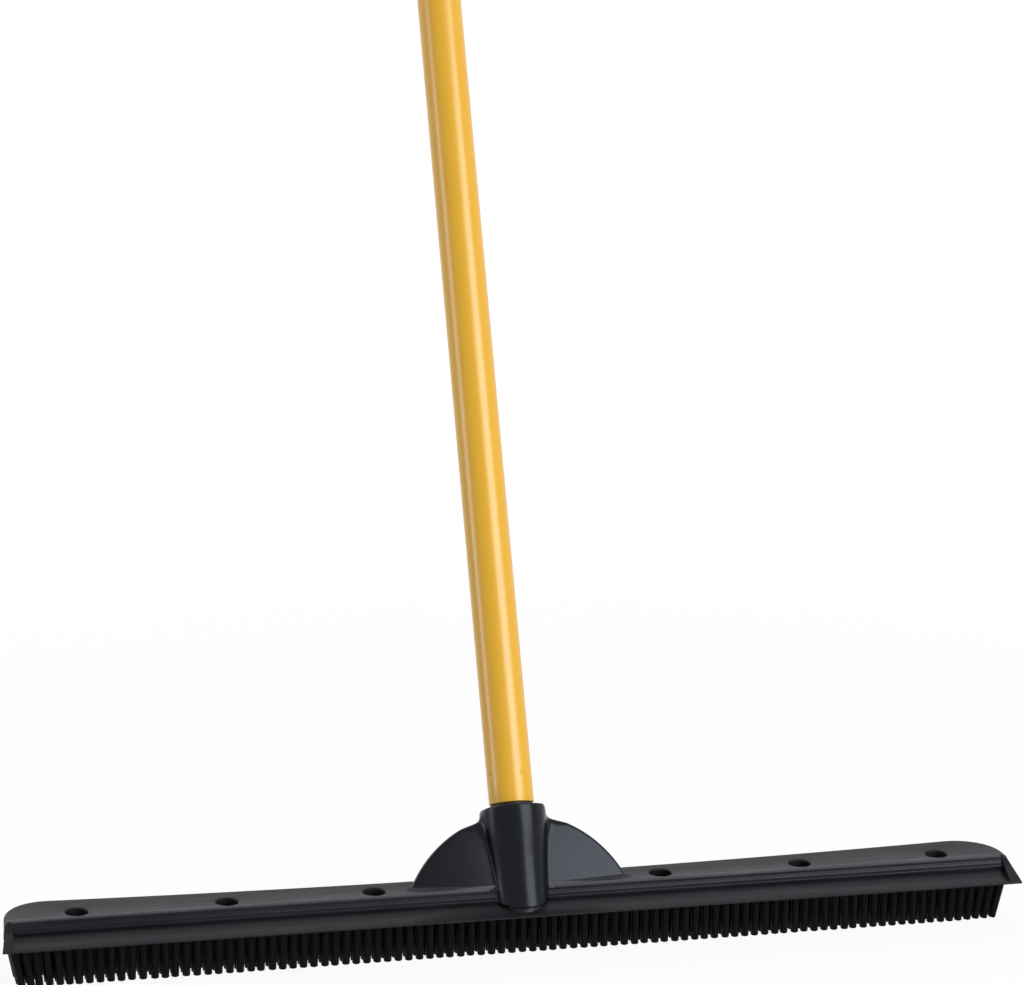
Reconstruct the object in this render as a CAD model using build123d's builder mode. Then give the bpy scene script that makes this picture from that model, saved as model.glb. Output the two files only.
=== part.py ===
from build123d import *
import os
from math import cos, radians, sin

# Rubber broom: a moulded head with a squeegee blade and bristles, a half-moon hub and a screw-in handle.
# Millimetres and degrees. +Z is up, X runs along the head and -Y is the blade's side.
# The origin is on the floor, under the middle of the head.

# Bristles and the slice of rubber that carries them
strand_columns = 97
strand_rows = 4
rows_ahead = 2
strand_pitch = 6.09
row_pitch = 5.6
strand_length = 22.0
strand_root = 4.5
strand_tip = 4.2
strand_sink = 2.0
pad_thickness = 4.0
pad_margin = 0.5
pad_corner_radius = 2.0
lean_columns = 10
lean_reach = 4.8

# Rubber deck: flange, stepped rail and squeegee blade
deck_thickness = 12.0
flange_length = 592.0
rear_depth_middle = 14.5
rear_depth_end = 25.0
corner_radius = 28.0
rim_radius = 2.5
ridge_depth = 7.5
rail_steps = 2
rail_rise = 3.0
rail_run = 2.0
rail_cove = 0.8
rail_foot_rise = 2.1
rail_undercut = 0.1
rail_end_border = 3.0
blade_length = 600.0
blade_reach = 13.6
blade_drop = 3.9
blade_cove = 1.0
blade_root_thickness = 2.9
blade_edge_thickness = 1.0
recess_diameter = 13.0
recess_pitch = 85.0
recesses_per_side = 3

# Rigid core: bar inside the rubber, half-moon fin and threaded socket
core_length = 560.0
core_width = 14.0
core_thickness = 5.0
core_end_radius = 5.0
core_cover = 4.0
neck_length = 84.0
neck_width = 7.0
neck_rise = 2.0
fin_radius = 71.0
fin_height = 39.5
fin_crown = 16.0
fin_rim = 4.0
fin_rim_bulge = 0.8
socket_height = 43.0
socket_sink = 18.0
socket_floor_depth = 6.6
socket_radius = 16.7
socket_flare_start = 6.0
socket_flare_end = 34.0
collar_radius = 19.4
collar_rim_round = 3.0
handle_lean = 25.0

# Handle: coated tube, threaded tip and hanging cap
thread_diameter = 19.0
thread_length = 32.0
thread_lead_in = 1.5
shoulder_diameter = 24.4
shoulder_thickness = 1.8
plug_length = 42.0
tube_diameter = 26.0
tube_wall = 1.0
tube_length = 1480.0
tube_end_chamfer = 0.4
stake_count = 4
stake_height = 16.5
stake_radius = 2.4
stake_depth = 0.5
stake_angle = -70.0
cap_plug_length = 30.0
cap_diameter = 25.6
cap_collar = 5.0
cap_collar_chamfer = 1.0
tab_width = 20.0
tab_thickness = 11.0
hang_hole_diameter = 9.0
hang_hole_height = 17.0

# Clearances
mould_gap = 0.1
thread_gap = 0.25
bore_end_gap = 2.0
seat_gap = 0.3
plug_gap = 0.1

# Heights and places that follow from the sizes above
deck_bottom = strand_length + pad_thickness
deck_top = deck_bottom + deck_thickness
core_top = deck_top - core_cover
core_bottom = core_top - core_thickness
socket_floor = deck_top - socket_floor_depth
pad_length = (strand_columns - 1) * strand_pitch + strand_root + 2 * pad_margin
pad_depth = (strand_rows - 1) * row_pitch + strand_root + 2 * pad_margin
pad_front = -rows_ahead * row_pitch - strand_root / 2 - pad_margin
pad_back = pad_front + pad_depth
step_y = -ridge_depth - rail_steps * rail_run
step_z = deck_top - rail_steps * rail_rise
root_y = step_y + rail_undercut
root_z = step_z - rail_foot_rise
edge_y = root_y - blade_reach
edge_z = root_z - blade_drop
lip_z = edge_z - blade_edge_thickness
under_z = root_z - blade_root_thickness
rail_end = flange_length / 2 - rail_end_border
seat = socket_height + seat_gap
tube_start = seat + shoulder_thickness
tube_end = tube_start + tube_length
tube_bore = tube_diameter - 2 * tube_wall
plug_diameter = tube_bore - 2 * plug_gap

# The handle's axis goes through the middle of the deck's top and leans back.
# Along it, heights are counted from the deck's top.
foot = Vector(0, 0, deck_top)
along = Vector(0, sin(radians(handle_lean)), cos(radians(handle_lean)))
facing = Vector(0, -cos(radians(handle_lean)), sin(radians(handle_lean)))
handle_axis = Axis(foot, along)
across = Plane(foot, x_dir=(1, 0, 0), z_dir=along)
lengthwise = Plane(foot, x_dir=(1, 0, 0), z_dir=facing)


def lean(column):
    """How far a column's tips draw in towards the middle: most at the ends, none past lean_columns."""
    from_end = min(column, strand_columns - 1 - column)
    share = max(0.0, 1 - from_end / lean_columns)
    inward = 1 if column < strand_columns / 2 else -1
    return inward * lean_reach * share**2


def taper(root, tip):
    """The corners of one bristle's outline, from inside the pad at root down to the floor at tip."""
    return [
        (root - strand_root / 2, strand_length + strand_sink),
        (root + strand_root / 2, strand_length + strand_sink),
        (tip + strand_tip / 2, 0),
        (tip - strand_tip / 2, 0),
    ]


def core_body(gap):
    """The core without its fin and bore, grown by a gap for the room that the rubber leaves it."""
    with BuildPart() as body:
        with BuildSketch(lengthwise) as wall:
            with BuildLine():
                Polyline(
                    (0, -socket_sink),
                    (socket_radius + gap, -socket_sink),
                    (socket_radius + gap, socket_flare_start),
                    (collar_radius + gap, socket_flare_end),
                    (collar_radius + gap, socket_height),
                    (0, socket_height),
                    close=True,
                )
            make_face()
            fillet(wall.vertices().group_by(Axis.Y)[-1].sort_by(Axis.X)[-1], collar_rim_round)
        revolve(axis=handle_axis)
        split(bisect_by=Plane.XY.offset(socket_floor - gap))
        with BuildSketch(Plane.XY.offset(core_bottom - gap)):
            RectangleRounded(core_length + 2 * gap, core_width + 2 * gap, core_end_radius + gap)
        extrude(amount=core_thickness + 2 * gap)
        with BuildSketch(Plane.XY.offset(core_bottom)):
            SlotOverall(neck_length + 2 * gap, neck_width + 2 * gap)
        extrude(amount=core_thickness + core_cover + neck_rise)
    return body.part


core = core_body(0)
core_room = core_body(mould_gap)

# Rigid core: the fin is the upper part of a lens that leans with the socket and stands on the deck.
fin_centre = foot + along * (fin_height - fin_radius)
with BuildPart() as socket_core:
    with BuildSketch(Plane(fin_centre, x_dir=(1, 0, 0), z_dir=-along)):
        with BuildLine():
            front = TangentArc((0, fin_crown / 2), (fin_radius - fin_rim_bulge, fin_rim / 2), tangent=(1, 0))
            back = TangentArc((0, -fin_crown / 2), (fin_radius - fin_rim_bulge, -fin_rim / 2), tangent=(1, 0))
            ThreePointArc(front @ 1, (fin_radius, 0), back @ 1)
            Line(back @ 0, front @ 0)
        make_face()
    revolve(axis=Axis(fin_centre, facing))
    split(bisect_by=Plane.XY.offset(deck_top + mould_gap))
    add(core)
    with BuildSketch(across.offset(socket_height)):
        Circle(thread_diameter / 2 + thread_gap)
    bore_depth = thread_length + bore_end_gap
    extrude(amount=-bore_depth, mode=Mode.SUBTRACT)
socket_core.part.label = "socket_core"

# Boss of rubber that carries the socket's foot on the blade
blade_underside = Plane((0, edge_y, lip_z), x_dir=(1, 0, 0), z_dir=(0, lip_z - under_z, pad_front - edge_y))
with BuildPart() as socket_boss:
    with BuildSketch(across.offset(-socket_sink - deck_thickness)):
        Circle(socket_radius)
    extrude(amount=socket_sink + deck_thickness)
    split(bisect_by=blade_underside, keep=Keep.TOP)
    split(bisect_by=Plane.XY.offset(socket_floor - mould_gap), keep=Keep.BOTTOM)

# Rubber deck: one section along the head, trimmed to the plan. The rail's steps are cut short of the ends,
# where a web fills the hollow from below the ridge to the blade's edge.
with BuildPart() as rubber_deck:
    with BuildSketch(Plane.YZ):
        with BuildLine():
            top = Line((rear_depth_end, deck_top), (-ridge_depth, deck_top))
            slope = Line(top @ 1, (step_y, step_z))
            under = Line(slope @ 1, (root_y, root_z))
            cove = SagittaArc(under @ 1, (edge_y, edge_z), blade_cove)
            lip = Line(cove @ 1, (edge_y, lip_z))
            below = Line(lip @ 1, (pad_front, under_z))
            wall = Line(below @ 1, (pad_front, deck_bottom))
            base = Line(wall @ 1, (rear_depth_end, deck_bottom))
            Line(base @ 1, top @ 0)
        make_face()
    extrude(amount=blade_length / 2, both=True)
    with BuildSketch(Plane.YZ.offset(rail_end), Plane.YZ.offset(-blade_length / 2)):
        Polygon(
            slope @ (rim_radius / (deck_top - step_z)),
            (edge_y, edge_z),
            (edge_y, lip_z),
            (pad_front, under_z),
            (root_y, under_z),
            align=None,
        )
    extrude(amount=blade_length / 2 - rail_end)
    with BuildSketch() as plan:
        with BuildLine():
            rear = ThreePointArc(
                (-flange_length / 2, rear_depth_end),
                (0, rear_depth_middle),
                (flange_length / 2, rear_depth_end),
            )
            Polyline(
                rear @ 1,
                (flange_length / 2, -ridge_depth),
                (blade_length / 2, edge_y),
                (-blade_length / 2, edge_y),
                (-flange_length / 2, -ridge_depth),
                rear @ 0,
            )
        make_face()
        fillet(plan.vertices().group_by(Axis.Y)[-1], corner_radius)
    extrude(amount=deck_top, mode=Mode.INTERSECT)
    top_edges = rubber_deck.faces().sort_by(Axis.Z)[-1].edges()
    fillet(top_edges.filter_by(lambda e: e.center().Y > -ridge_depth + rim_radius), rim_radius)
    with BuildSketch(Plane.YZ):
        for step in range(rail_steps):
            y = -ridge_depth - step * rail_run
            z = deck_top - step * rail_rise
            with BuildLine():
                riser = SagittaArc((y, z), (y - rail_run, z - rail_rise), rail_cove)
                Polyline(riser @ 1, (y - rail_run, z), riser @ 0)
            make_face()
    extrude(amount=rail_end, both=True, mode=Mode.SUBTRACT)
    with BuildSketch(Plane.XY.offset(deck_top)):
        sides = [side * (n + 1) * recess_pitch for side in (-1, 1) for n in range(recesses_per_side)]
        with Locations(*[(x, 0) for x in sides]):
            Circle(recess_diameter / 2)
    extrude(amount=-core_cover, mode=Mode.SUBTRACT)
    add(socket_boss)
    add(core_room, mode=Mode.SUBTRACT)
rubber_deck.part.label = "rubber_deck"

# Bristles: tapered strips across the head, cut by tapered strips along it, leave a bristle at each crossing.
with BuildPart() as bristles:
    with BuildSketch(Plane.XZ):
        for column in range(strand_columns):
            x = (column - (strand_columns - 1) / 2) * strand_pitch
            Polygon(*taper(x, x + lean(column)), align=None)
    extrude(amount=-pad_front, both=True)
    with BuildSketch(Plane.YZ):
        for row in range(strand_rows):
            y = (row - rows_ahead) * row_pitch
            Polygon(*taper(y, y), align=None)
    extrude(amount=pad_length / 2, both=True, mode=Mode.INTERSECT)

# Bristle pad: a slice of the rubber body, fused once with all its bristles
with BuildPart() as bristle_pad:
    with BuildSketch(Plane.XY.offset(deck_bottom)) as slab:
        with Locations((0, pad_back)):
            Rectangle(pad_length, pad_depth, align=(Align.CENTER, Align.MAX))
        fillet(slab.vertices().group_by(Axis.Y)[-1], pad_corner_radius)
    extrude(amount=-pad_thickness)
    add(bristles)
bristle_pad.part.label = "bristle_pad"

# Handle tube, staked onto the tip's plug near its lower end
with BuildPart() as handle_tube:
    with BuildSketch(across.offset(tube_start)):
        Circle(tube_diameter / 2)
        Circle(tube_bore / 2, mode=Mode.SUBTRACT)
    extrude(amount=tube_length)
    chamfer(handle_tube.edges().filter_by(GeomType.CIRCLE).sort_by(SortBy.RADIUS)[-2:], tube_end_chamfer)
    stake_reach = tube_diameter / 2 - stake_depth + stake_radius
    with Locations(across.offset(tube_start + stake_height)):
        with PolarLocations(stake_reach, stake_count, stake_angle):
            Sphere(stake_radius, mode=Mode.SUBTRACT)
handle_tube.part.label = "handle_tube"

# Threaded tip: screw thread in the socket, a shoulder under the tube's end and a plug inside it
with BuildPart() as thread_tip:
    with BuildSketch(across.offset(seat)):
        Circle(thread_diameter / 2)
    extrude(amount=-thread_length)
    chamfer(thread_tip.faces().sort_by(handle_axis)[0].edges(), thread_lead_in)
    with BuildSketch(across.offset(seat)):
        Circle(shoulder_diameter / 2)
    extrude(amount=shoulder_thickness)
    with BuildSketch(across.offset(tube_start)):
        Circle(plug_diameter / 2)
    extrude(amount=plug_length)
thread_tip.part.label = "thread_tip"

# Hanging cap: a plug in the tube's upper end, a collar on its rim and an arched tab with a hole
with BuildPart() as hang_cap:
    with BuildSketch(across.offset(tube_end)):
        Circle(plug_diameter / 2)
    extrude(amount=-cap_plug_length)
    with BuildSketch(across.offset(tube_end)):
        Circle(cap_diameter / 2)
    extrude(amount=cap_collar)
    chamfer(hang_cap.faces().sort_by(handle_axis)[-1].edges(), cap_collar_chamfer)
    with BuildSketch(lengthwise):
        with Locations((0, tube_end)):
            Rectangle(tab_width, hang_hole_height, align=(Align.CENTER, Align.MIN))
        with Locations((0, tube_end + hang_hole_height)):
            Circle(tab_width / 2)
            Circle(hang_hole_diameter / 2, mode=Mode.SUBTRACT)
    extrude(amount=tab_thickness / 2, both=True)
hang_cap.part.label = "hang_cap"

os.makedirs("parts", exist_ok=True)
for piece in (socket_core, rubber_deck, bristle_pad, handle_tube, thread_tip, hang_cap):
    export_step(piece.part, f"parts/{piece.part.label}.step")
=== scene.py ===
import math
import random

import bmesh
import bpy
from mathutils import Matrix, Vector


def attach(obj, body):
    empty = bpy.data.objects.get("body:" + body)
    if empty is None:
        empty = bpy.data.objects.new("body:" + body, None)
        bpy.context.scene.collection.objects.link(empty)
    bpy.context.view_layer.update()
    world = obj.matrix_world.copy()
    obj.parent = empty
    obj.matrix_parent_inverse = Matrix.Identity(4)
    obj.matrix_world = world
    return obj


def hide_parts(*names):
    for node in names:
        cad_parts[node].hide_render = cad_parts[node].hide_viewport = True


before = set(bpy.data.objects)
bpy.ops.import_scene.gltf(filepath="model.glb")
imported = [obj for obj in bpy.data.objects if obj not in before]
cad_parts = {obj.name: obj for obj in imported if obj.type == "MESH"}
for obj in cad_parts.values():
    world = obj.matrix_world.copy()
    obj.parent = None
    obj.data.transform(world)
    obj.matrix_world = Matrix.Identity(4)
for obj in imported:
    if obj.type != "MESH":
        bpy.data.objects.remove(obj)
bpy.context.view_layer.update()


# The hub is one rigid moulding: a half-moon fin, a tapered socket through its middle and the bar that the
# rubber is moulded around. It is satin black plastic, and its bore takes the handle's threaded tip.
mm = 0.001
weld, near = 0.002 * mm, 0.01 * mm
lean = math.radians(25)
along = Vector((0, math.sin(lean), math.cos(lean)))
facing = Vector((0, -math.cos(lean), math.sin(lean)))
deck_top = 38.0
foot = Vector((0, 0, deck_top * mm))


def beside_axis(radius, height):
    """The point that far to the right of the handle's axis, and that high along it above the deck's top."""
    return foot + Vector((radius * mm, 0, 0)) + along * (height * mm)


def draw(name, points):
    """A new object, left in edit mode, with a flat face whose outline goes through the points."""
    bpy.ops.mesh.primitive_plane_add(size=mm)
    piece = bpy.context.object
    piece.name = piece.data.name = name
    bpy.ops.object.mode_set(mode="EDIT")
    bpy.ops.mesh.select_mode(type="VERT")
    bpy.ops.mesh.merge(type="CENTER")
    bpy.ops.transform.translate(value=points[0])
    for last, point in zip(points, points[1:]):
        bpy.ops.mesh.extrude_vertices_move(TRANSFORM_OT_translate={"value": point - last})
    bpy.ops.mesh.select_all(action="SELECT")
    bpy.ops.mesh.edge_face_add()
    return piece


def block(name, middle, size):
    """A new box round a middle, both in millimetres."""
    bpy.ops.mesh.primitive_cube_add(size=1, location=Vector(middle) * mm, scale=Vector(size) * mm)
    piece = bpy.context.object
    piece.name = piece.data.name = name
    bpy.ops.object.transform_apply(location=True, rotation=True, scale=True)
    return piece


def pick(piece, kind, test):
    """In edit mode, select the vertices, edges or faces whose middle passes the test, and nothing else."""
    bpy.ops.mesh.select_mode(type=kind)
    bpy.ops.mesh.select_all(action="DESELECT")
    mesh = bmesh.from_edit_mesh(piece.data)
    for part in {"VERT": mesh.verts, "EDGE": mesh.edges, "FACE": mesh.faces}[kind]:
        corners = [part] if kind == "VERT" else part.verts
        if test(sum((corner.co for corner in corners), Vector()) / len(corners)):
            part.select_set(True)
    mesh.select_flush_mode()
    bmesh.update_edit_mesh(piece.data)


def round_corner(piece, place, reach, segments):
    """Round the one corner of a drawn outline that lies at a place."""
    pick(piece, "VERT", lambda middle: (middle - place).length < near)
    bpy.ops.mesh.bevel(affect="VERTICES", offset=reach * mm, segments=segments, profile=0.5)


def close_up():
    """Turn all faces of the solid that is being edited outwards, and leave edit mode."""
    bpy.ops.mesh.select_all(action="SELECT")
    bpy.ops.mesh.normals_make_consistent(inside=False)
    bpy.ops.object.mode_set(mode="OBJECT")


def lathe(centre, axis, steps):
    """Spin the outline that was just drawn round an axis into a closed solid, and leave edit mode."""
    bpy.ops.mesh.select_all(action="SELECT")
    bpy.ops.mesh.delete(type="ONLY_FACE")
    bpy.ops.mesh.select_all(action="SELECT")
    bpy.ops.mesh.spin(steps=steps, angle=2 * math.pi, center=centre, axis=axis)
    bpy.ops.mesh.select_all(action="SELECT")
    bpy.ops.mesh.remove_doubles(threshold=weld)
    bpy.ops.mesh.dissolve_degenerate(threshold=weld)
    bpy.ops.mesh.delete_loose()
    close_up()


def cut_level(height, above):
    """Cut the active solid through at a height, close the cut and keep only what is above or below it."""
    bpy.ops.object.mode_set(mode="EDIT")
    bpy.ops.mesh.select_all(action="SELECT")
    bpy.ops.mesh.bisect(
        plane_co=(0, 0, height * mm), plane_no=(0, 0, 1),
        use_fill=True, clear_inner=above, clear_outer=not above,
    )
    bpy.ops.object.mode_set(mode="OBJECT")


def take_up(*pieces):
    """Select these pieces alone, and make the first one active."""
    bpy.ops.object.select_all(action="DESELECT")
    for piece in pieces:
        piece.select_set(True)
    bpy.context.view_layer.objects.active = pieces[0]


def finish_with(piece, kind, **settings):
    """Add one modifier to a piece and apply it."""
    take_up(piece)
    step = piece.modifiers.new(kind.lower(), kind)
    for name, value in settings.items():
        setattr(step, name, value)
    bpy.ops.object.modifier_apply(modifier=step.name)


def break_edges(piece, width, segments, degrees, **settings):
    """Round every edge of a piece that is sharper than an angle."""
    finish_with(
        piece, "BEVEL", width=width * mm, segments=segments,
        limit_method="ANGLE", angle_limit=math.radians(degrees), **settings,
    )


def combine(piece, other, operation):
    """Join a piece with another solid, cut it by that solid or trim it to it. The other solid is used up."""
    finish_with(piece, "BOOLEAN", operation=operation, object=other, solver="EXACT")
    bpy.data.objects.remove(other)


def join(piece, *others):
    """Put other meshes into a piece's own mesh."""
    take_up(piece, *others)
    bpy.ops.object.join()


def smooth(piece, degrees):
    """Shade a piece smooth, apart from edges sharper than an angle."""
    take_up(piece)
    bpy.ops.object.shade_smooth_by_angle(angle=math.radians(degrees))


class Wire:
    """A socket in a material's nodes. Arithmetic on it adds Math nodes, and node() adds any other one."""

    def __init__(self, tree, socket):
        self.tree = tree
        self.socket = socket

    def node(self, kind, sockets, output=0, **settings):
        made = self.tree.nodes.new(kind)
        for name, value in settings.items():
            setattr(made, name, value)
        for place, value in sockets.items():
            if isinstance(value, Wire):
                self.tree.links.new(value.socket, made.inputs[place])
            else:
                made.inputs[place].default_value = value
        return Wire(self.tree, made.outputs[output])

    def math(self, operation, first, second):
        return self.node("ShaderNodeMath", {0: first, 1: second}, operation=operation)

    def __add__(self, other):
        return self.math("ADD", self, other)

    def __radd__(self, other):
        return self.math("ADD", other, self)

    def __sub__(self, other):
        return self.math("SUBTRACT", self, other)

    def __rsub__(self, other):
        return self.math("SUBTRACT", other, self)

    def __mul__(self, other):
        return self.math("MULTIPLY", self, other)

    def __rmul__(self, other):
        return self.math("MULTIPLY", other, self)

    def between(self, low, high):
        """0 where the value is under low, 1 over high, and a soft step between them."""
        limits = {"Value": self, "From Min": low, "From Max": high}
        return self.node("ShaderNodeMapRange", limits, interpolation_type="SMOOTHSTEP")

    def blend(self, first, second):
        """From the first colour where the value is 0 to the second where it is 1."""
        return self.node("ShaderNodeMix", {0: self, 6: first, 7: second}, output=2, data_type="RGBA")

    def turned(self, scale, rotation=(0, 0, 0)):
        """A place turned and then stretched, for a pattern that runs along a piece."""
        return self.node("ShaderNodeMapping", {"Vector": self, "Rotation": rotation, "Scale": scale})

    def noise(self, scale, detail=2.0, roughness=0.5):
        """Noise at a place, as a value near 0.5."""
        sizes = {"Vector": self, "Scale": scale, "Detail": detail, "Roughness": roughness}
        return self.node("ShaderNodeTexNoise", sizes)


def finish_of(name, **constants):
    """A new material, as its surface shader and the wire of places on the piece that its pattern reads."""
    material = bpy.data.materials.new(name)
    material.use_nodes = True
    tree = material.node_tree
    surface = tree.nodes["Principled BSDF"]
    for socket, value in constants.items():
        surface.inputs[socket.replace("_", " ")].default_value = value
    places = tree.nodes.new("ShaderNodeTexCoord")
    return material, surface, Wire(tree, places.outputs["Object"])


def wire_up(surface, color, roughness, height, depth):
    """Feed a surface its colour, its roughness and a bump of that depth in millimetres."""
    bump = height.node("ShaderNodeBump", {"Height": height, "Strength": 1.0, "Distance": depth * mm})
    for name, wire in (("Base Color", color), ("Roughness", roughness), ("Normal", bump)):
        wire.tree.links.new(wire.socket, surface.inputs[name])


def coat(piece, material):
    """Give a piece this one material."""
    piece.data.materials.clear()
    piece.data.materials.append(material)


fin_radius, fin_height, fin_crown, fin_rim = 71.0, 39.5, 16.0, 4.0
fin_rings, fin_turns, fin_sink, rim_round = 14, 192, 2.0, 1.3
fin_curve = (fin_radius**2 + (fin_crown / 2 - fin_rim / 2) ** 2) / (fin_crown - fin_rim)
fin_centre = beside_axis(0, fin_height - fin_radius)
fin_steps = [fin_radius * ring / fin_rings for ring in range(fin_rings + 1)]
fin_face = [(r, math.sqrt(fin_curve**2 - r**2) - fin_curve + fin_crown / 2) for r in fin_steps]
fin_outline = [
    fin_centre + Vector((r * mm, 0, 0)) + facing * (t * mm)
    for r, t in fin_face + [(r, -t) for r, t in reversed(fin_face)]
]
hub = draw("socket_hub", fin_outline)
for rim_edge in (fin_outline[fin_rings + 1], fin_outline[fin_rings]):
    round_corner(hub, rim_edge, rim_round, 5)
lathe(fin_centre, facing, fin_turns)
cut_level(deck_top - fin_sink, above=True)

socket_radius, collar_radius, mouth_height, mouth_round = 16.7, 19.4, 43.0, 3.0
socket_foot, socket_sink, flare_low, flare_high, flare_round = deck_top - 8.4, 18.0, 6.0, 34.0, 10.0
flare_start, flare_end = beside_axis(socket_radius, flare_low), beside_axis(collar_radius, flare_high)
mouth = beside_axis(collar_radius, mouth_height)
socket = draw("socket", [
    beside_axis(0, -socket_sink), beside_axis(socket_radius, -socket_sink),
    flare_start, flare_end, mouth, beside_axis(0, mouth_height),
])
for bend in (flare_start, flare_end):
    round_corner(socket, bend, flare_round, 6)
round_corner(socket, mouth, mouth_round, 8)
lathe(foot, along, 128)
cut_level(socket_foot, above=True)
combine(hub, socket, "UNION")

bore_radius, bore_depth, lead_in = 9.75, 34.0, 1.0
bore = draw("bore", [
    beside_axis(0, mouth_height - bore_depth),
    beside_axis(bore_radius, mouth_height - bore_depth),
    beside_axis(bore_radius, mouth_height - lead_in),
    beside_axis(bore_radius + 2 * lead_in, mouth_height + lead_in),
    beside_axis(0, mouth_height + lead_in),
])
lathe(foot, along, 96)
combine(hub, bore, "DIFFERENCE")

grid, blend_reach, blend_gain, below_crown = 0.6, 13.0, 1.6, 3.0
finish_with(hub, "REMESH", mode="VOXEL", voxel_size=grid * mm)
finish_with(hub, "SMOOTH", factor=0.5, iterations=6)
blend = hub.vertex_groups.new(name="blend")
for side in (-1, 1):
    shoulder = beside_axis(side * collar_radius, fin_height - below_crown)
    for corner in hub.data.vertices:
        share = 1 - (corner.co - shoulder).length / (blend_reach * mm)
        if share > 0:
            blend.add([corner.index], min(1, blend_gain * share), "REPLACE")
finish_with(hub, "SMOOTH", factor=0.5, iterations=200, vertex_group="blend")

bar_length, bar_depth, bar_height, bar_level, bar_round = 560.0, 14.0, 5.0, 31.5, 5.0
core_bar = block("core_bar", (0, 0, bar_level), (bar_length, bar_depth, bar_height))
bpy.ops.object.mode_set(mode="EDIT")
pick(core_bar, "EDGE", lambda middle: (
    abs(middle.x) > bar_length / 2 * mm - near and abs(middle.y) > bar_depth / 2 * mm - near))
bpy.ops.mesh.bevel(offset=bar_round * mm, segments=6)
bpy.ops.object.mode_set(mode="OBJECT")
break_edges(core_bar, 0.5, 2, 40)
join(hub, core_bar)
smooth(hub, 50)

hub_black, surface, place = finish_of(
    "hub_plastic_satin", Specular_IOR_Level=0.2, Specular_Tint=(0.78, 0.86, 1, 1)
)
flow = place.noise(38, detail=3)
grain = place.noise(1500, detail=3, roughness=0.6)
scuffs = place.turned((90, 90, 900), (0.5, 0.9, 0)).noise(1, detail=4).between(0.6, 0.72)
wire_up(
    surface,
    color=(0.7 * flow + 0.3 * scuffs).blend((0.0015, 0.0015, 0.002, 1), (0.004, 0.004, 0.005, 1)),
    roughness=0.2 + 0.06 * flow + 0.06 * scuffs,
    height=grain + 0.4 * flow,
    depth=0.03,
)
coat(hub, hub_black)
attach(hub, "head")
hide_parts("socket_core")


# The deck is the moulded rubber body: a flange over the hub's bar with six round locating holes and a low
# skirt round the fin, a stepped rail along its front and a thin squeegee blade. It is matt black rubber with
# a dusty grey bloom, and its colour also holds a painted highlight along the ridge and a painted sheen on the
# flange's top towards the ridge and on the blade.
deck_bottom, ridge, blade_root, blade_edge = 26.0, (-7.5, 38.0), (-11.4, 29.9), (-25.0, 26.0)
blade_lip, pad_front, past_rear = 1.0, (-13.95, 27.0), 30.0
section_end, rail_end, above_top = 305.0, 293.0, 1.5
rail_hollow, blade_hollow, web_top = 0.3, 1.0, Vector((-9.2, 35.5))


def section(y, z):
    """A point of the deck's section, at the left end where its drawing starts."""
    return Vector((-section_end * mm, y * mm, z * mm))


def hollow(start, end, depth, parts):
    """Points from start to end along a shallow hollow, both ends included."""
    line = Vector(end) - Vector(start)
    inward = Vector((-line.y, line.x)).normalized()
    shares = [step / parts for step in range(parts + 1)]
    return [Vector(start) + line * t + inward * (4 * depth * t * (1 - t)) for t in shares]


def nose(y, z):
    """The rounded edge of a step whose sharp corner would be at y, z."""
    rounding = ((0.42, 0.36), (0.2, 0.17), (0.05, -0.12), (0, -0.5))
    return [Vector((y + back, z + rise)) for back, rise in rounding]


first_step, second_step = nose(-9.5, 35.0), nose(-11.5, 32.0)
stepped = (
    [Vector(ridge) + Vector((above_top * 2 / 3, above_top))]
    + hollow(ridge, first_step[0], rail_hollow, 6)[:-1] + first_step
    + hollow(first_step[-1], second_step[0], rail_hollow, 6)[1:-1] + second_step
    + hollow(blade_root, blade_edge, blade_hollow, 8)
)
web_parts = len(stepped) - 2
web = [web_top.lerp(Vector(blade_edge), part / web_parts) for part in range(web_parts + 1)]
webbed = [stepped[0]] + web
deck = draw("rubber_body", [section(y, z) for y, z in [
    (past_rear, deck_top + above_top), *webbed, (blade_edge[0], blade_edge[1] - blade_lip),
    pad_front, (pad_front[0], deck_bottom), (past_rear, deck_bottom),
]])


def push_out(length):
    """Extrude the selected end of the deck's section along the head."""
    bpy.ops.mesh.extrude_region_move(TRANSFORM_OT_translate={"value": (length * mm, 0, 0)})


def reshape(x, now, then):
    """Move the front outline of the selected end section from one line of points to another."""
    mesh = bmesh.from_edit_mesh(deck.data)
    ends = [corner for corner in mesh.verts if corner.select]
    for old, new in zip(now, then):
        here = Vector((x * mm, old.x * mm, old.y * mm))
        nearest = min(ends, key=lambda corner: (corner.co - here).length)
        nearest.co = Vector((x * mm, new.x * mm, new.y * mm))
        ends.remove(nearest)
    bmesh.update_edit_mesh(deck.data)


push_out(section_end - rail_end)
push_out(0)
reshape(-rail_end, webbed, stepped)
push_out(2 * rail_end)
push_out(0)
reshape(rail_end, stepped, webbed)
push_out(section_end - rail_end)
bpy.ops.mesh.select_all(action="SELECT")
bpy.ops.mesh.remove_doubles(threshold=weld)
close_up()

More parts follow.
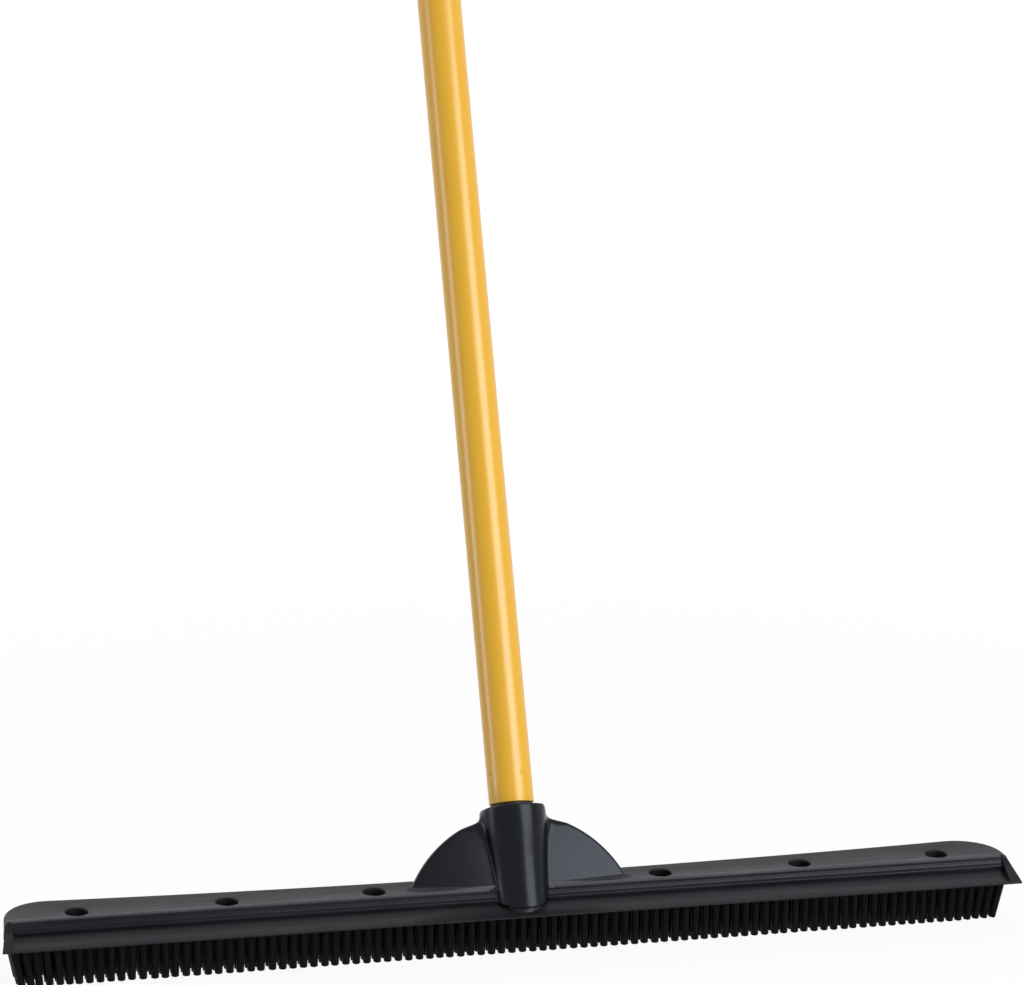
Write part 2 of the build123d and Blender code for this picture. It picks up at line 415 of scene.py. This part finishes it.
flange_half, past_half, rear_end, rear_middle, past_edge = 296.0, 302.2857, 25.0, 14.5, -35.0
plan_level, corner_round, flange_round = 20.0, 28.0, 2.5
plan = draw("plan", [Vector((x * mm, y * mm, plan_level * mm)) for x, y in [
    (-flange_half, rear_end), (flange_half, rear_end), (flange_half, ridge[0]),
    (past_half, past_edge), (-past_half, past_edge), (-flange_half, ridge[0]),
]])
for side in (-1, 1):
    rear_corner = Vector((side * flange_half * mm, rear_end * mm, plan_level * mm))
    round_corner(plan, rear_corner, corner_round, 14)
pick(plan, "EDGE", lambda middle: middle.y > rear_end * mm - near and abs(middle.x) < mm)
bpy.ops.mesh.subdivide(number_cuts=47)
bow = (rear_end - rear_middle) / flange_half**2
for corner in bmesh.from_edit_mesh(plan.data).verts:
    if corner.co.y > ridge[0] * mm + near:
        corner.co.y -= bow * (flange_half**2 - (corner.co.x / mm) ** 2) * mm
bmesh.update_edit_mesh(plan.data)
bpy.ops.mesh.select_all(action="SELECT")
bpy.ops.mesh.extrude_region_move(TRANSFORM_OT_translate={"value": (0, 0, (deck_top - plan_level) * mm)})
bpy.ops.mesh.select_all(action="SELECT")
bpy.ops.mesh.normals_make_consistent(inside=False)
pick(plan, "EDGE", lambda middle: middle.z > deck_top * mm - near)
bpy.ops.mesh.bevel(offset=flange_round * mm, segments=6)
bpy.ops.object.mode_set(mode="OBJECT")
combine(deck, plan, "INTERSECT")

boss_radius, boss_low, boss_high, boss_clear, boss_lap = 13.2, -30.0, 10.0, 0.05, 0.2
boss = draw("boss", [
    beside_axis(0, boss_low), beside_axis(boss_radius, boss_low),
    beside_axis(boss_radius, boss_high), beside_axis(0, boss_high),
])
lathe(foot, along, 96)
cut_level(deck_bottom + boss_clear, above=True)
cut_level(socket_foot + boss_lap, above=False)
combine(deck, boss, "UNION")

hole_places = (-255, -170, -85, 85, 170, 255)
hole_radius, hole_bottom, hole_round, drill_length = 6.5, 33.8, 1.0, 10.0
for x in hole_places:
    bpy.ops.mesh.primitive_cylinder_add(
        vertices=48, radius=hole_radius * mm, depth=drill_length * mm,
        location=(x * mm, 0, (hole_bottom + drill_length / 2) * mm),
    )
    drill = bpy.context.object
    bpy.ops.object.transform_apply(location=True, rotation=False, scale=False)
    combine(deck, drill, "DIFFERENCE")
bpy.ops.object.mode_set(mode="EDIT")
bpy.ops.mesh.select_all(action="SELECT")
bpy.ops.mesh.remove_doubles(threshold=0.005 * mm)
pick(deck, "EDGE", lambda middle: middle.z > deck_top * mm - near and any(
    abs((middle.xy - Vector((x * mm, 0))).length - hole_radius * mm) < 0.05 * mm for x in hole_places))
bpy.ops.mesh.bevel(offset=hole_round * mm, segments=5)
bpy.ops.object.mode_set(mode="OBJECT")
smooth(deck, 35)
break_edges(deck, 0.45, 3, 35, harden_normals=True)

skirt_height, skirt_shoulder, skirt_sink = 1.6, 1.3, 1.0
top_length, top_depth, flare_sideways, flare_out = 0.955, 0.67, 0.027, 0.45
skirt = draw("skirt", fin_outline)
lathe(fin_centre, facing, fin_turns)
cut_level(deck_top - skirt_sink, above=True)
cut_level(deck_top + skirt_height, above=False)
bpy.ops.object.mode_set(mode="EDIT")
bpy.ops.mesh.select_all(action="SELECT")
bpy.ops.mesh.bisect(plane_co=(0, 0, (deck_top + skirt_shoulder) * mm), plane_no=(0, 0, 1))
for corner in bmesh.from_edit_mesh(skirt.data).verts:
    height = corner.co.z / mm - deck_top
    below_top = skirt_height - height
    middle = height * mm * math.tan(lean)
    if below_top < 0.01:
        corner.co.x *= top_length
        corner.co.y = middle + top_depth * (corner.co.y - middle)
    else:
        corner.co.x *= 1 + flare_sideways * below_top
        corner.co.y += math.copysign(flare_out * below_top * mm, corner.co.y - middle)
bmesh.update_edit_mesh(skirt.data)
close_up()
trim_size, trim_front = 200.0, ridge[0] + 0.2
behind_ridge = block("behind_ridge", (0, trim_front + trim_size / 2, deck_top), (trim_size,) * 3)
combine(skirt, behind_ridge, "INTERSECT")
smooth(skirt, 60)
join(deck, skirt)

deck_black, surface, place = finish_of(
    "deck_rubber_matt", Specular_IOR_Level=0.15, Specular_Tint=(0.87, 0.88, 1, 1)
)
bloom = place.turned((1, 2.5, 2.5)).noise(16, detail=5, roughness=0.6).between(0.35, 0.75)
grain = place.noise(900, detail=4, roughness=0.65)
smears = place.turned((14, 160, 160)).noise(1, detail=4).between(0.5, 0.7)
depth_of = place.node("ShaderNodeSeparateXYZ", {0: place}, output="Y")
height_of = place.node("ShaderNodeSeparateXYZ", {0: place}, output="Z")
on_top = height_of.between((deck_top - 0.9) * mm, (deck_top - 0.1) * mm)
on_flange = depth_of.between((ridge[0] - 0.5) * mm, ridge[0] * mm)
on_blade = 1 - depth_of.between(-15 * mm, -12 * mm)
# Dust and painted sheen: the flange's top face alone is painted paler towards the ridge, mottled by the
# smears.
top_dust_and_sheen = on_flange * on_top * (1 - depth_of.between(-7 * mm, 16 * mm)) * (0.7 + 0.3 * smears)
# Painted highlight: a pale band along the ridge's rounded edge, mottled by the smears.
from_ridge = depth_of.math("ABSOLUTE", depth_of - (ridge[0] + 0.3) * mm, 0.0)
ridge_highlight = (1 - from_ridge.between(0.3 * mm, 1.0 * mm)) * (0.6 + 0.4 * smears)
# The paler share: bloom and smears are the rubber's own dust and bloom, the flange top's share is dust and
# painted sheen, and the blade's share is painted sheen.
pale_share = 0.1 * bloom + 0.1 * smears + 0.65 * top_dust_and_sheen + 0.25 * on_blade
dust_and_sheen_colour = pale_share.blend((0.004, 0.004, 0.0055, 1), (0.068, 0.068, 0.078, 1))
wire_up(
    surface,
    color=ridge_highlight.blend(dust_and_sheen_colour, (0.14, 0.14, 0.15, 1)),
    roughness=0.26 + 0.26 * on_flange + 0.03 * on_blade + 0.08 * bloom + 0.05 * grain,
    height=grain + 0.6 * bloom,
    depth=0.05,
)
coat(deck, deck_black)
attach(deck, "head")
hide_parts("rubber_deck")


# The bristles are tapered rubber fingers, 97 across in four rows, moulded in one with a slice of the body.
# They are the same rubber with a little dust at their tips, and the outer ones draw in towards the middle.
columns, rows, pitch, row_pitch = 97, 4, 6.09, 5.6
finger_length, root_width, tip_width, tip_round = 22.0, 4.7, 4.5, 0.3
root_overlap, root_flare = 0.8, 1.1
end_draw, drawn_columns, sway = 4.8, 10, 0.5
bpy.ops.mesh.primitive_cylinder_add(
    vertices=10, radius=root_width / 2 * mm, depth=finger_length * mm,
    location=(0, 0, finger_length / 2 * mm),
)
finger = bpy.context.object
finger.name = finger.data.name = "finger"
bpy.ops.object.transform_apply(location=True, rotation=True, scale=True)
bpy.ops.object.mode_set(mode="EDIT")
pick(finger, "FACE", lambda middle: middle.z < near)
bpy.ops.transform.resize(value=(tip_width / root_width, tip_width / root_width, 1))
bpy.ops.mesh.bevel(offset=tip_round * mm, segments=1)
pick(finger, "FACE", lambda middle: middle.z > finger_length * mm - near)
bpy.ops.mesh.extrude_region_move(TRANSFORM_OT_translate={"value": (0, 0, root_overlap * mm)})
bpy.ops.transform.resize(value=(root_flare, root_flare, 1))
bpy.ops.object.mode_set(mode="OBJECT")

chance = random.Random(11)
fingers = []
for column in range(columns):
    from_end = min(column, columns - 1 - column)
    inward = 1 if column < columns / 2 else -1
    draw_in = inward * end_draw * max(0.0, 1 - from_end / drawn_columns) ** 2
    for row in range(rows):
        copy = finger.copy()
        copy.data = finger.data.copy()
        bpy.context.collection.objects.link(copy)
        swing = -math.atan2(draw_in, finger_length) + math.radians(chance.gauss(0, sway))
        nod = math.radians(chance.gauss(0, sway))
        root = Vector(((column - (columns - 1) / 2) * pitch, (row - 2) * row_pitch, finger_length)) * mm
        length = (1 - tip_width / 2 / finger_length * (abs(swing) + abs(nod))) / math.cos(swing)
        copy.matrix_world = (
            Matrix.Translation(root)
            @ Matrix.Rotation(swing, 4, "Y") @ Matrix.Rotation(nod, 4, "X")
            @ Matrix.Diagonal((1, 1, length, 1))
            @ Matrix.Translation((0, 0, -finger_length * mm))
        )
        fingers.append(copy)
bpy.data.objects.remove(finger)

pad_length, pad_depth, pad_height, pad_round = 590.14, 22.3, 4.0, 2.0
pad_middle = (0, -row_pitch / 2, finger_length + pad_height / 2)
pad = block("bristle_field", pad_middle, (pad_length, pad_depth, pad_height))
bpy.ops.object.mode_set(mode="EDIT")
pick(pad, "EDGE", lambda middle: (
    abs(middle.x) > pad_length / 2 * mm - near and middle.y > (pad_depth - row_pitch) / 2 * mm - near))
bpy.ops.mesh.bevel(offset=pad_round * mm, segments=4)
bpy.ops.object.mode_set(mode="OBJECT")
break_edges(pad, 0.5, 2, 40)
join(pad, *fingers)
smooth(pad, 50)

bristle_black, surface, place = finish_of("bristle_rubber_black", Specular_IOR_Level=0.08)
cast = place.noise(160, detail=3)
grain = place.noise(1300, detail=3, roughness=0.6)
height_of = place.node("ShaderNodeSeparateXYZ", {0: place}, output="Z")
pale_share = (1 - height_of.between(0.0, 8 * mm)) * place.noise(420, detail=3).between(0.45, 0.7)
wire_up(
    surface,
    color=(0.5 * cast + 0.5 * pale_share).blend((0.0015, 0.0015, 0.002, 1), (0.005, 0.005, 0.006, 1)),
    roughness=0.5 + 0.08 * cast + 0.1 * pale_share,
    height=grain + 0.5 * cast,
    depth=0.04,
)
coat(pad, bristle_black)
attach(pad, "head")
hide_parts("bristle_pad")


# The threaded tip is a black plastic plug in the tube's lower end. Its coarse round thread screws into the
# socket, and its shoulder shows as a thin dark line under the tube.
seat, thread_length, thread_pitch, thread_turns, turn_steps = 43.3, 32.0, 5.08, 5, 32
core_radius, core_chamfer, neck = 7.8, 1.5, 0.8
shoulder_radius, shoulder_height, plug_radius, plug_chamfer = 12.2, 1.8, 11.9, 1.5
thread_end, plug_start, plug_end = seat - thread_length, seat + shoulder_height, seat + 43.8
tip = draw("threaded_tip", [
    beside_axis(0, thread_end),
    beside_axis(core_radius - core_chamfer, thread_end),
    beside_axis(core_radius, thread_end + core_chamfer),
    beside_axis(core_radius, seat - neck),
    beside_axis(core_radius + neck, seat),
    beside_axis(shoulder_radius, seat),
    beside_axis(shoulder_radius, plug_start),
    beside_axis(plug_radius, plug_start),
    beside_axis(plug_radius, plug_end - plug_chamfer),
    beside_axis(plug_radius - plug_chamfer, plug_end),
    beside_axis(0, plug_end),
])
lathe(foot, along, 96)

thread_bite, thread_lead = 0.2, 2.2
thread_base = beside_axis(core_radius - thread_bite, thread_end + thread_lead)
thread_form = ((0, 0), (1.5, 0.8), (1.75, 1.4), (1.5, 2.0), (0, 2.8))
thread = draw("thread", [
    thread_base + Vector((out * mm, 0, 0)) + along * (rise * mm) for out, rise in thread_form
])
turn = Matrix.Rotation(math.radians(360 / turn_steps), 4, along)
turn = Matrix.Translation(foot) @ turn @ Matrix.Translation(-foot)
climb = along * (thread_pitch / turn_steps * mm)
for step in range(thread_turns * turn_steps):
    bpy.ops.mesh.extrude_region_move(TRANSFORM_OT_translate={"value": climb})
    for corner in bmesh.from_edit_mesh(thread.data).verts:
        if corner.select:
            corner.co = turn @ corner.co
    bmesh.update_edit_mesh(thread.data)
close_up()
join(tip, thread)
smooth(tip, 40)

tip_black, surface, place = finish_of("tip_plastic_moulded", Specular_IOR_Level=0.2)
cast = place.noise(120, detail=3)
grain = place.noise(1400, detail=3)
wire_up(
    surface,
    color=cast.blend((0.012, 0.009, 0.006, 1), (0.026, 0.020, 0.014, 1)),
    roughness=0.42 + 0.12 * cast,
    height=grain + 0.4 * cast,
    depth=0.03,
)
coat(tip, tip_black)
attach(tip, "handle")
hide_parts("thread_tip")


# The handle is a thin steel tube with a glossy yellow coating. Four punched stakes near its lower end hold it
# on the tip's plug, and its cut ends are slightly rounded.
tube_start, tube_length, tube_radius, tube_wall, tube_round = 45.1, 1480.0, 13.0, 1.0, 0.4
tube_end = tube_start + tube_length
stakes, first_stake, punch_radius, punch_depth = 4, -70, 2.4, 0.5
stake_height, stake_band = tube_start + 16.5, 4.0
tube = draw("handle_tube_coated", [
    beside_axis(tube_radius, tube_start),
    beside_axis(tube_radius, stake_height - stake_band),
    beside_axis(tube_radius, stake_height + stake_band),
    beside_axis(tube_radius, tube_end),
    beside_axis(tube_radius - tube_wall, tube_end),
    beside_axis(tube_radius - tube_wall, tube_start),
])
for height in (tube_start, tube_end):
    round_corner(tube, beside_axis(tube_radius, height), tube_round, 4)
lathe(foot, along, 128)
reach = (tube_radius - punch_depth + punch_radius) * mm
for stake in range(stakes):
    angle = math.radians(first_stake + 360 / stakes * stake)
    sideways = Vector((math.cos(angle), 0, 0)) - facing * math.sin(angle)
    bpy.ops.mesh.primitive_uv_sphere_add(
        segments=32, ring_count=20, radius=punch_radius * mm,
        location=beside_axis(0, stake_height) + sideways * reach,
    )
    combine(tube, bpy.context.object, "DIFFERENCE")
smooth(tube, 30)

yellow, surface, place = finish_of("yellow_coating_gloss", Specular_IOR_Level=0.62)
straight = place.turned((1, 1, 1), (lean, 0, 0))
streaks = straight.turned((160, 160, 2.2)).noise(1, detail=3).between(0.35, 0.7)
drift = straight.turned((9, 9, 3)).noise(1, detail=2)
peel = straight.turned((1, 1, 0.6)).noise(520, detail=2)
scuffs = straight.turned((260, 260, 40)).noise(1, detail=5, roughness=0.7).between(0.68, 0.78)
wire_up(
    surface,
    color=(0.5 * streaks + 0.5 * drift).blend((0.88, 0.46, 0.016, 1), (0.93, 0.52, 0.026, 1)),
    roughness=0.27 + 0.06 * drift + 0.08 * scuffs,
    height=peel + 0.5 * scuffs,
    depth=0.004,
)
coat(tube, yellow)
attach(tube, "handle")
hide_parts("handle_tube")


# The hanging cap plugs the tube's upper end: a collar on the tube's rim and an arched tab with a round hole.
# It is moulded black plastic, pressed in.
cap_radius, cap_top, cap_plug_end, cap_round, plug_round = 12.8, tube_end + 5, tube_end - 30, 1.2, 1.5
tab_half, tab_thickness, tab_start = 10.0, 11.0, tube_end + 3
hang_radius, hang_height, hang_drill = 4.5, tube_end + 17, 30.0
cap = draw("hanging_cap", [
    beside_axis(0, cap_plug_end),
    beside_axis(plug_radius, cap_plug_end),
    beside_axis(plug_radius, tube_end),
    beside_axis(cap_radius, tube_end),
    beside_axis(cap_radius, cap_top),
    beside_axis(0, cap_top),
])
round_corner(cap, beside_axis(cap_radius, cap_top), cap_round, 5)
round_corner(cap, beside_axis(plug_radius, cap_plug_end), plug_round, 2)
lathe(foot, along, 96)
tab_end = hang_height + tab_half
tab_corners = [
    beside_axis(-tab_half, tab_start), beside_axis(tab_half, tab_start),
    beside_axis(tab_half, tab_end), beside_axis(-tab_half, tab_end),
]
tab = draw("tab", tab_corners)
for corner in tab_corners[2:]:
    round_corner(tab, corner, tab_half - 0.01, 24)
bpy.ops.mesh.select_all(action="SELECT")
bpy.ops.mesh.remove_doubles(threshold=0.05 * mm)
bpy.ops.transform.translate(value=facing * (-tab_thickness / 2 * mm))
bpy.ops.mesh.extrude_region_move(TRANSFORM_OT_translate={"value": facing * (tab_thickness * mm)})
close_up()
combine(cap, tab, "UNION")
bpy.ops.mesh.primitive_cylinder_add(
    vertices=64, radius=hang_radius * mm, depth=hang_drill * mm,
    location=beside_axis(0, hang_height), rotation=facing.to_track_quat("Z", "Y").to_euler(),
)
combine(cap, bpy.context.object, "DIFFERENCE")
smooth(cap, 40)
break_edges(cap, 0.8, 3, 40, harden_normals=True)

cap_black, surface, place = finish_of("cap_plastic_grained", Specular_IOR_Level=0.2)
cast = place.noise(90, detail=3)
grain = place.noise(1100, detail=4, roughness=0.65)
wire_up(
    surface,
    color=cast.blend((0.014, 0.014, 0.015, 1), (0.030, 0.030, 0.032, 1)),
    roughness=0.42 + 0.14 * cast,
    height=grain + 0.3 * cast,
    depth=0.05,
)
coat(cap, cap_black)
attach(cap, "handle")
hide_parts("hang_cap")


# The stage: a broad white floor under an even white studio, with soft boxes at the front right, behind and
# at the back left, a low fill at the front and a strip at the left. The camera stands at the front left and
# has a long lens.
def shown_white(tree):
    """1 for what the camera sees, also in a gloss or through glass, and 0 for the light on the object."""
    rays = tree.nodes.new("ShaderNodeLightPath").outputs
    kinds = ("Camera", "Glossy", "Transmission")
    direct, glossy, clear = (Wire(tree, rays[f"Is {kind} Ray"]) for kind in kinds)
    return direct.math("MAXIMUM", direct.math("MAXIMUM", direct, glossy), clear)


floor_size, floor_drop = 60, 0.2
bpy.ops.mesh.primitive_plane_add(size=floor_size, location=(0, 0, -floor_drop * mm))
floor = bpy.context.object
floor.name = floor.data.name = "floor"
floor_white, surface, place = finish_of("floor_white", Specular_IOR_Level=0.1, Roughness=0.8)
tree = floor_white.node_tree
seen = shown_white(tree)
tree.links.new((0.3 + 0.6 * seen).socket, surface.inputs["Base Color"])
from_middle = place.node("ShaderNodeVectorMath", {0: place}, output="Value", operation="LENGTH")
far = from_middle.between(0.5, 1.6)
lit = Wire(tree, surface.outputs[0])
white = seen.node("ShaderNodeEmission", {"Color": (1, 1, 1, 1), "Strength": 1.03})
shown = seen.node("ShaderNodeMixShader", {0: seen * (0.88 + 0.12 * far), 1: lit, 2: white})
tree.links.new(shown.socket, tree.nodes["Material Output"].inputs["Surface"])
coat(floor, floor_white)

studio = bpy.data.worlds.new("studio")
studio.use_nodes = True
bpy.context.scene.world = studio
tree = studio.node_tree
seen = shown_white(tree)
backdrop = tree.nodes["Background"]
backdrop.inputs["Color"].default_value = (1, 1, 1, 1)
tree.links.new((0.14 + 0.86 * seen).socket, backdrop.inputs["Strength"])
studio.cycles.sampling_method = "NONE"


def soft_light(name, location, target, width, height, power):
    """A rectangular area light that faces a target."""
    bpy.ops.object.light_add(type="AREA", location=location)
    light = bpy.context.object
    light.name = name
    light.data.shape = "RECTANGLE"
    light.data.size, light.data.size_y = width, height
    light.data.energy = power
    light.rotation_euler = (Vector(target) - Vector(location)).to_track_quat("-Z", "Y").to_euler()


soft_light("box_right", (1.90, -2.48, 1.94), (0, 0.1, 0.3), 2.2, 2.2, 100)
soft_light("fill_front", (1.45, -3.1, 0.55), (0, 0.1, 0.3), 0.8, 0.6, 12)
soft_light("strip_left", (-2.4, 0.35, 0.7), (0, 0.15, 0.3), 0.6, 1.5, 15)
soft_light("box_behind", (0.3, 2.5, 2.35), (0, 0.0, 0.1), 3.0, 1.6, 18)
soft_light("box_back_left", (-1.7, 2.6, 1.7), (0, 0.2, 0.4), 1.8, 1.4, 30)

yaw, tilt, roll = math.radians(15.54), math.radians(13.645), math.radians(1.38)
camera_place, sensor_width, lens_in_pixels, picture_width = (-0.600, -2.1235, 0.803), 36, 4059, 1024
view = Vector((math.sin(yaw) * math.cos(tilt), math.cos(yaw) * math.cos(tilt), -math.sin(tilt)))
level = Vector((math.cos(yaw), -math.sin(yaw), 0))
upright = level.cross(view)
right = level * math.cos(roll) + upright * math.sin(roll)
up = upright * math.cos(roll) - level * math.sin(roll)
aim = Matrix((right, up, -view)).transposed().to_4x4()
bpy.ops.object.camera_add()
camera = bpy.context.object
camera.matrix_world = Matrix.Translation(camera_place) @ aim
camera.data.sensor_fit = "HORIZONTAL"
camera.data.sensor_width = sensor_width
camera.data.lens = lens_in_pixels / picture_width * sensor_width
camera.data.clip_end = 100
bpy.context.scene.camera = camera
bpy.context.scene.view_settings.view_transform = "Standard"
